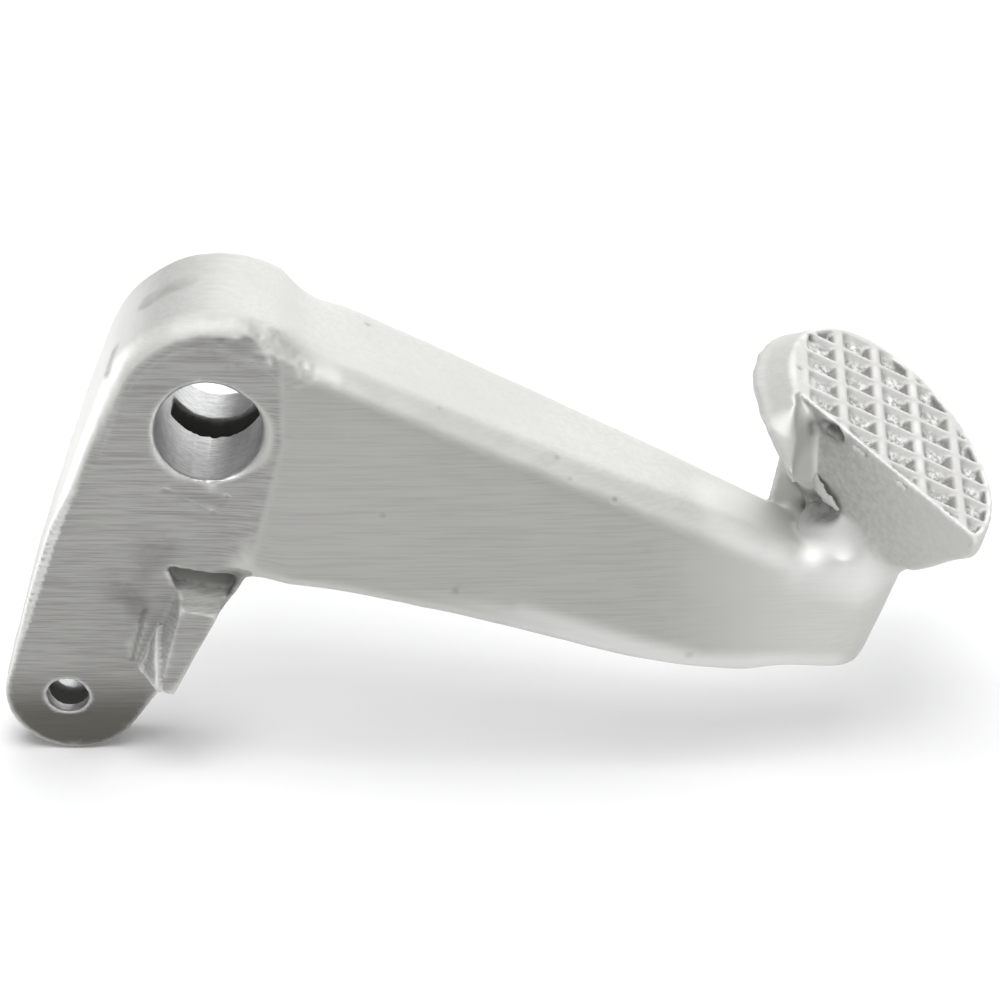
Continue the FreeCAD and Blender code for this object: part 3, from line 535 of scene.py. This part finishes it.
def paint(mesh):
    """Store what the metal's finish depends on: painted shade in hollows and wear on edges by curvature,
    stains with painted shade, painted highlights and the regions of the casting."""
    points, normals, edges = mesh_points(mesh), mesh_normals(mesh), mesh_edges(mesh)
    bend = ((neighbour_mean(points, edges) - points) * normals).sum(axis=1)[:, None]
    for _ in range(4):
        bend = 0.5 * bend + 0.5 * neighbour_mean(bend, edges)
    bend = bend[:, 0]
    share = regions(points, normals)
    stain_and_shade = np.zeros(len(points))
    for start, end, radius, fade, dark in STAINS_AND_SHADE:
        stain_and_shade = np.maximum(stain_and_shade, dark * near_line(points, start, end, radius, fade))
    for centre, radius, deep in PITS:
        reach = pit_reach(points, centre, radius)
        stain_and_shade = np.maximum(stain_and_shade, 1.8 * deep * np.clip(1.3 - reach, 0, 1))
    share["stain_and_shade"] = np.clip(stain_and_shade, 0, 1)
    # Painted shade in hollows, found by curvature.
    share["hollow"] = smooth_step(bend, 0.004, 0.045)

    # Worn convex edges by curvature, and painted highlights on the leg's left flank, the saddle, the gusset
    # and the arm's lower front edge with the elbow's front.
    x, z = points[:, 0], points[:, 2]
    flank = smooth_step(-normals[:, 0], 0.45, 0.75) * (x < -8) * smooth_step(z, -40, -5)
    saddle_highlight = near_line(points, *SADDLE_HIGHLIGHT) * smooth_step(normals[:, 2], 0.0, 0.5)
    gusset_light = near_line(points, *GUSSET_LIGHT) * (1 - share["side"])
    edge_highlights = [near_line(points, *given) * smooth_step(x, 25, 62) for given in EDGE_HIGHLIGHTS]
    share["edge"] = np.max([smooth_step(-bend, 0.008, 0.05), flank, saddle_highlight, gusset_light] + edge_highlights, axis=0)

    # The straight side's painted shade and roughness lessen towards its far end.
    share["side"] = share["side"] * (1 - 0.75 * smooth_step(x, 95, 113))
    for name in LAYERS:
        layer = mesh.attributes.new(name, "FLOAT", "POINT")
        layer.data.foreach_set("value", share[name].astype(np.float32))


def finish_piece(piece):
    """Give a piece of the casting its metal and let it move with the part."""
    piece.data.materials.clear()
    piece.data.materials.append(METAL)
    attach(piece, "root")


def torn_lip():
    """The torn flake above the shadowed dent: an oval section carried along an arched path, shrinking to both
    ends.
    """
    along, around = np.meshgrid(np.linspace(0, 1, 33), np.linspace(0, 2 * math.pi, 25)[:-1], indexing="ij")
    path = FLAKE_END - FLAKE_START
    across = np.cross(path / np.linalg.norm(path), SIDE_OUT)
    size = np.sin(math.pi * (0.02 + 0.96 * along)) ** 0.6
    ragged = 1 + 0.22 * np.sin(19 * along + 1.0) + 0.12 * np.sin(41 * along)
    middle = FLAKE_START + along[..., None] * path
    middle = middle + (FLAKE_ARCH * np.sin(math.pi * along))[..., None] * SIDE_OUT
    middle = middle + (FLAKE_SWAY * np.sin(5 * along))[..., None] * across
    points = middle + (FLAKE_HALF_WIDTH * size * ragged * np.cos(around))[..., None] * across
    points = points + (FLAKE_HALF_THICKNESS * size * np.sin(around))[..., None] * SIDE_OUT
    rows, columns = along.shape
    index = np.arange(rows * columns).reshape(rows, columns)
    turned = np.roll(index, -1, axis=1)
    quads = np.stack((index[:-1], turned[:-1], turned[1:], index[1:]), axis=-1).reshape(-1, 4)
    mesh = bpy.data.meshes.new("torn_lip")
    mesh.from_pydata((points.reshape(-1, 3) * MM).tolist(), [],
                     quads.tolist() + [index[0].tolist()[::-1], index[-1].tolist()])
    shell = bmesh.new()
    shell.from_mesh(mesh)
    bmesh.ops.recalc_face_normals(shell, faces=shell.faces)
    shell.to_mesh(mesh)
    shell.free()
    mesh.polygons.foreach_set("use_smooth", np.ones(len(mesh.polygons), bool))
    piece = bpy.data.objects.new("torn_lip", mesh)
    bpy.context.scene.collection.objects.link(piece)
    finish_piece(piece)


class Shade:
    """A shader socket that takes part in Python arithmetic, each operation being a Math node."""

    def __init__(self, tree, socket=None):
        self.tree = tree
        self.socket = socket

    def node(self, kind, settings, sockets, output=0):
        """A node of any kind: its settings are set first, then its sockets, by value or by link."""
        made = self.tree.nodes.new(kind)
        for name, value in settings.items():
            setattr(made, name, value)
        for name, given in sockets.items():
            if isinstance(given, Shade):
                self.tree.links.new(given.socket, made.inputs[name])
            else:
                made.inputs[name].default_value = given
        return Shade(self.tree, made.outputs[output])

    def maths(self, operation, first, second):
        """A Math node on two values."""
        return self.node("ShaderNodeMath", {"operation": operation}, {0: first, 1: second})

    def __add__(self, other):
        return self.maths("ADD", self, other)

    def __radd__(self, other):
        return self.maths("ADD", other, self)

    def __sub__(self, other):
        return self.maths("SUBTRACT", self, other)

    def __rsub__(self, other):
        return self.maths("SUBTRACT", other, self)

    def __mul__(self, other):
        return self.maths("MULTIPLY", self, other)

    def __rmul__(self, other):
        return self.maths("MULTIPLY", other, self)

    def step(self, low, high):
        """An eased step from 0 at low to 1 at high."""
        return self.node("ShaderNodeMapRange", {"interpolation_type": "SMOOTHSTEP"},
                         {"Value": self, "From Min": low, "From Max": high}, "Result")

    def mix(self, first, second):
        """A colour that goes from the first to the second with this share."""
        return self.node("ShaderNodeMix", {"data_type": "RGBA"}, {0: self, 6: first, 7: second}, 2)


# Colours of the metal: satin and clouded skin, linished flats darkened as painted shade, the oiled tip of the
# leg, the straight side in painted shade, the speckled pocket floors and their shaded ends, raw skin in
# painted shade, painted shade in hollows, rubbed edges with painted highlights, turned holes, stains with
# painted shade.
SATIN_DARK, SATIN_LIGHT = (0.545, 0.543, 0.522, 1), (0.600, 0.598, 0.580, 1)
CLOUDED = (0.54, 0.536, 0.510, 1)
LINISHED_HUB_SHADE, LINISHED_ARM_SHADE = (0.26, 0.258, 0.246, 1), (0.36, 0.358, 0.342, 1)
OILED_TIP = (0.10, 0.096, 0.080, 1)
SIDE_SHADE_DARK, SIDE_SHADE_LIGHT = (0.41, 0.408, 0.39, 1), (0.51, 0.508, 0.49, 1)
FLOOR_DARK, FLOOR_LIGHT = (0.50, 0.498, 0.48, 1), (0.92, 0.92, 0.90, 1)
SHADED_END = (0.16, 0.158, 0.15, 1)
RECESS_SHADE = (0.22, 0.218, 0.21, 1)
CREASE_SHADE = (0.20, 0.198, 0.19, 1)
RUBBED_AND_HIGHLIGHT = (0.82, 0.82, 0.80, 1)
TURNED_DARK, TURNED_LIGHT = (0.42, 0.42, 0.42, 1), (0.66, 0.66, 0.66, 1)
STAIN_AND_SHADE_DARK = (0.12, 0.118, 0.11, 1)

# Fine lines left by the work: their turn about Y, and how often they change per metre along X, Y and Z.
HUB_LINES = (0.0, (110.0, 900.0, 3600.0))
ARM_LINES = (-0.4276, (60.0, 900.0, 2600.0))
TURNED_LINES = (0.0, (700.0, 5200.0, 700.0))

# Relief too fine for the mesh, in metres, and its strength.
BUMP_DEPTH, BUMP_STRENGTH = 0.00009, 0.45


def aluminium():
    """Bare cast aluminium: linished satin metal with fine lines along the work, dull skin with painted shade
    in hollows, painted shade on forward faces and the straight side, painted highlights, bright turned holes
    and dark stains."""
    made = bpy.data.materials.new("cast_aluminium")
    made.use_nodes = True
    tree = made.node_tree
    start = Shade(tree)
    place = start.node("ShaderNodeTexCoord", {}, {}, "Object")

    def noise(scale, detail=3.0, rough=0.55, where=place):
        """Noise that changes so many times per metre."""
        return start.node("ShaderNodeTexNoise", {}, {
            "Vector": where, "Scale": scale, "Detail": detail, "Roughness": rough}, "Fac")

    def layer(name):
        """A share that is painted on the mesh."""
        return start.node("ShaderNodeAttribute", {"attribute_name": name}, {}, "Fac")

    def lines(turn, stretch):
        """Noise stretched into lines."""
        where = start.node("ShaderNodeMapping", {}, {
            "Vector": place, "Rotation": (0, turn, 0), "Scale": stretch})
        return noise(1.0, 4.0, 0.6, where)

    shares = [layer(name) for name in LAYERS]
    machined, pockets, ends, side, recess_shade, front, flat, arm, tip, stain_and_shade, hollow, edge = shares
    cloud, blotch, grain, speck = noise(38.0), noise(150.0, 4.0), noise(900.0, 5.0), noise(1600.0, 2.0)
    hub_lines, arm_lines, turned = lines(*HUB_LINES), lines(*ARM_LINES), lines(*TURNED_LINES)
    brushed = arm * arm_lines + (1 - arm) * hub_lines
    # Stains and painted shade, broken up by blotches and brushed lines.
    smudge_and_shade = stain_and_shade * blotch.step(0.25, 0.58) * (0.55 + 0.6 * brushed)

    satin = brushed.step(0.3, 0.7).mix(SATIN_DARK, SATIN_LIGHT)
    satin = (0.5 * cloud.step(0.35, 0.7)).mix(satin, CLOUDED)
    # Linished flats, darkened as painted shade where they face forward.
    satin = (front * (0.6 + 0.4 * hub_lines.step(0.35, 0.72))).mix(satin, LINISHED_HUB_SHADE)
    satin = (flat * (0.74 + 0.22 * arm_lines.step(0.35, 0.72))).mix(satin, LINISHED_ARM_SHADE)
    satin = (0.9 * tip).mix(satin, OILED_TIP)
    side_shade_colour = grain.step(0.3, 0.7).mix(SIDE_SHADE_DARK, SIDE_SHADE_LIGHT)
    floor = speck.step(0.38, 0.60).mix(FLOOR_DARK, FLOOR_LIGHT)
    # Painted shade on the pad's straight side, which is also rougher.
    colour = (0.9 * side).mix(satin, side_shade_colour)
    # Painted shade on the raw skin of the slot and the hollow under the arm.
    colour = recess_shade.mix(colour, RECESS_SHADE)
    colour = (0.9 * pockets).mix(colour, floor)
    colour = (0.75 * ends).mix(colour, SHADED_END)
    # Painted shade in hollows.
    colour = (0.30 * hollow).mix(colour, CREASE_SHADE)
    # Wear on convex edges, and painted highlights.
    colour = (0.6 * edge).mix(colour, RUBBED_AND_HIGHLIGHT)
    colour = machined.mix(colour, turned.step(0.3, 0.7).mix(TURNED_DARK, TURNED_LIGHT))
    # Stains, and painted shade in the crevice, the corner under the lug, above the spot face and in the dent.
    colour = smudge_and_shade.mix(colour, STAIN_AND_SHADE_DARK)

    rough = 0.50 + 0.10 * brushed + 0.06 * cloud + 0.10 * side + 0.15 * recess_shade + 0.16 * pockets - 0.08 * machined
    height = 0.28 * brushed + 0.20 * grain + 0.15 * blotch + pockets * speck + side * grain * 0.2
    height = height + machined * turned * 0.6
    bump = start.node("ShaderNodeBump", {}, {
        "Strength": BUMP_STRENGTH, "Distance": BUMP_DEPTH, "Height": height}, "Normal")
    surface = start.node("ShaderNodeBsdfPrincipled", {}, {
        "Base Color": colour, "Roughness": rough, "Metallic": 0.62 + 0.35 * machined, "Normal": bump}, "BSDF")
    tree.links.new(surface.socket, tree.nodes["Material Output"].inputs["Surface"])
    tree.nodes.remove(tree.nodes["Principled BSDF"])
    return made


# Camera of the photo: its eye, its direction by two angles, the width of its sensor in millimetres and its
# focal length in sensor widths.
EYE = Vector((62.2, -831.1, 369.5)) * MM
AZIMUTH = math.radians(1.3)
ELEVATION = math.radians(25.0)
SENSOR = 36.0
FOCAL_SHARE = 6.0


def photo_camera():
    """A long lens that looks down along the pivot axis from the front."""
    lens = bpy.data.cameras.new("camera")
    lens.sensor_width = SENSOR
    lens.sensor_height = SENSOR
    lens.lens = SENSOR * FOCAL_SHARE
    lens.clip_start = 0.01
    camera = bpy.data.objects.new("camera", lens)
    right = Vector((math.cos(AZIMUTH), math.sin(AZIMUTH), 0))
    back = Vector((math.sin(AZIMUTH) * math.cos(ELEVATION), -math.cos(AZIMUTH) * math.cos(ELEVATION),
                   math.sin(ELEVATION)))
    turn = Matrix((right, back.cross(right), back)).transposed().to_4x4()
    camera.matrix_world = Matrix.Translation(EYE) @ turn
    bpy.context.scene.collection.objects.link(camera)
    bpy.context.scene.camera = camera


# Studio, in metres and watts: the floor's half width and its gap under the part, the lamps by place, size and
# power, the place they point at, and the colour and strength of the surround.
FLOOR_HALF, FLOOR_GAP = 3.0, 0.4 * MM
FLOOR_WHITE = (0.9, 0.9, 0.9, 1)
LAMPS = (
    ("overhead", (0.05, 0.15, 0.9), 0.9, 4.0),
    ("front", (0.0, -0.5, 0.85), 0.6, 6.5),
    ("backdrop", (0.4, 1.1, 0.42), 1.2, 8.0),
    ("left", (-0.9, 0.1, 0.17), 0.45, 4.0),
    ("right", (0.9, -0.6, 0.25), 0.5, 1.5),
)
LAMPS_AIM = Vector((0.05, 0, -0.02))
SURROUND_COLOUR, SURROUND_STRENGTH = (0.97, 0.98, 1.0, 1), 0.28


def studio():
    """A white floor under the leg, soft lamps around the part and a dim even surround."""
    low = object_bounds()[0][2] - FLOOR_GAP
    span = (-FLOOR_HALF, FLOOR_HALF)
    mesh = bpy.data.meshes.new("floor")
    mesh.from_pydata([(x, y, low) for y in span for x in span], [], [(0, 1, 3, 2)])
    floor = bpy.data.objects.new("floor", mesh)
    bpy.context.scene.collection.objects.link(floor)
    pale = bpy.data.materials.new("white_floor")
    pale.use_nodes = True
    coat = pale.node_tree.nodes["Principled BSDF"].inputs
    coat["Base Color"].default_value = FLOOR_WHITE
    coat["Roughness"].default_value = 0.9
    coat["Specular IOR Level"].default_value = 0.0
    mesh.materials.append(pale)
    floor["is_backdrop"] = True
    for name, place, size, power in LAMPS:
        data = bpy.data.lights.new(name, "AREA")
        data.size = size
        data.energy = power
        lamp = bpy.data.objects.new(name, data)
        lamp.location = place
        lamp.rotation_euler = (LAMPS_AIM - lamp.location).to_track_quat("-Z", "Y").to_euler()
        bpy.context.scene.collection.objects.link(lamp)
    world = bpy.data.worlds.new("studio")
    world.use_nodes = True
    surround = world.node_tree.nodes["Background"].inputs
    surround["Color"].default_value = SURROUND_COLOUR
    surround["Strength"].default_value = SURROUND_STRENGTH
    bpy.context.scene.world = world


METAL = aluminium()
cast_body()
torn_lip()
photo_camera()
studio()
bpy.context.scene.view_settings.view_transform = "Standard"
bpy.context.view_layer.update()
